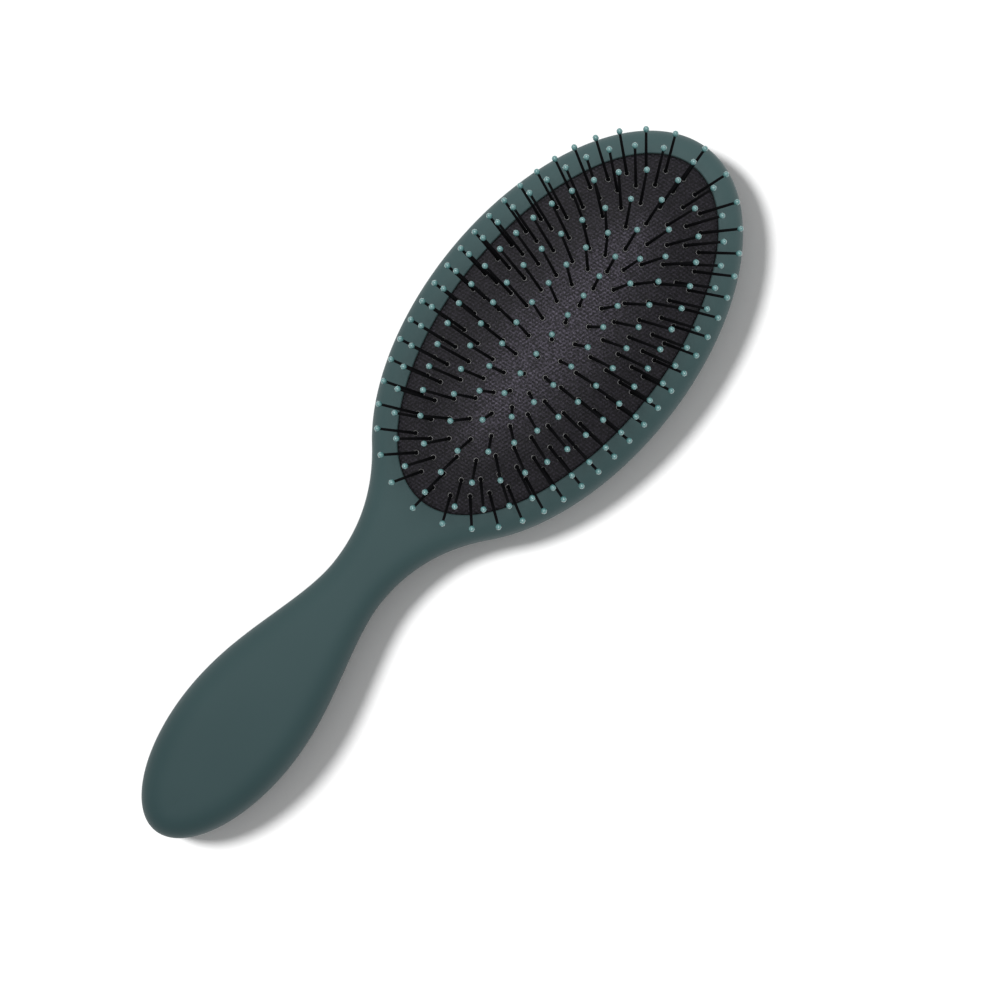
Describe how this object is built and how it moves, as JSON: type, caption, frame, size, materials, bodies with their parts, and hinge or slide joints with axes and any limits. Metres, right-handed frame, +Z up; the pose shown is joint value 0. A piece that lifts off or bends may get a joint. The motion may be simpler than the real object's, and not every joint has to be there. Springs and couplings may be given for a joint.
{
  "type": "hair brush",
  "caption": "Oval cushion hair brush: slim waisted grip, rounded head frame and a domed rubber cushion set with leaning ball-tipped pins.",
  "frame": {"origin": "under the middle of the brush, on the surface that its back lies on", "axes": "+Y towards the head's top, -Y towards the grip's end, +Z up along the pins"},
  "size_m": [0.0708, 0.225, 0.0392],
  "materials": {
    "soft_touch_front": "soft-touch matt coating, dark grey-teal",
    "soft_touch_back": "soft-touch matt coating, dark grey-teal",
    "tray_plastic": "plain moulded plastic, out of sight",
    "cushion_rubber": "charcoal rubber skin with a very fine woven texture and a broad soft sheen",
    "pinned_rubber": "charcoal rubber skin carrying black nylon pins with pale teal ball tips"
  },
  "bodies": {
    "root": {"front_shell": "soft_touch_front", "back_shell": "soft_touch_back", "cushion_tray": "tray_plastic", "cushion_edge": "cushion_rubber"},
    "slice_5": {"pin_ring_5": "pinned_rubber"},
    "slice_4": {"pin_ring_4": "pinned_rubber"},
    "slice_3": {"pin_ring_3": "pinned_rubber"},
    "slice_2": {"pin_ring_2": "pinned_rubber"},
    "slice_1": {"pin_ring_1": "pinned_rubber"},
    "slice_centre": {"pin_row": "pinned_rubber"}
  },
  "joints": [
    {"name": "slice_5_sink", "type": "slide", "parent": "root", "child": "slice_5", "axis": [0, 0, -1], "range_m": [0, 0.0008], "stiffness_N_per_m": 6000},
    {"name": "slice_4_sink", "type": "slide", "parent": "slice_5", "child": "slice_4", "axis": [0, 0, -1], "range_m": [0, 0.0008], "stiffness_N_per_m": 6000},
    {"name": "slice_3_sink", "type": "slide", "parent": "slice_4", "child": "slice_3", "axis": [0, 0, -1], "range_m": [0, 0.0008], "stiffness_N_per_m": 6000},
    {"name": "slice_2_sink", "type": "slide", "parent": "slice_3", "child": "slice_2", "axis": [0, 0, -1], "range_m": [0, 0.0008], "stiffness_N_per_m": 6000},
    {"name": "slice_1_sink", "type": "slide", "parent": "slice_2", "child": "slice_1", "axis": [0, 0, -1], "range_m": [0, 0.0008], "stiffness_N_per_m": 6000},
    {"name": "slice_centre_sink", "type": "slide", "parent": "slice_1", "child": "slice_centre", "axis": [0, 0, -1], "range_m": [0, 0.0008], "stiffness_N_per_m": 6000}
  ]
}
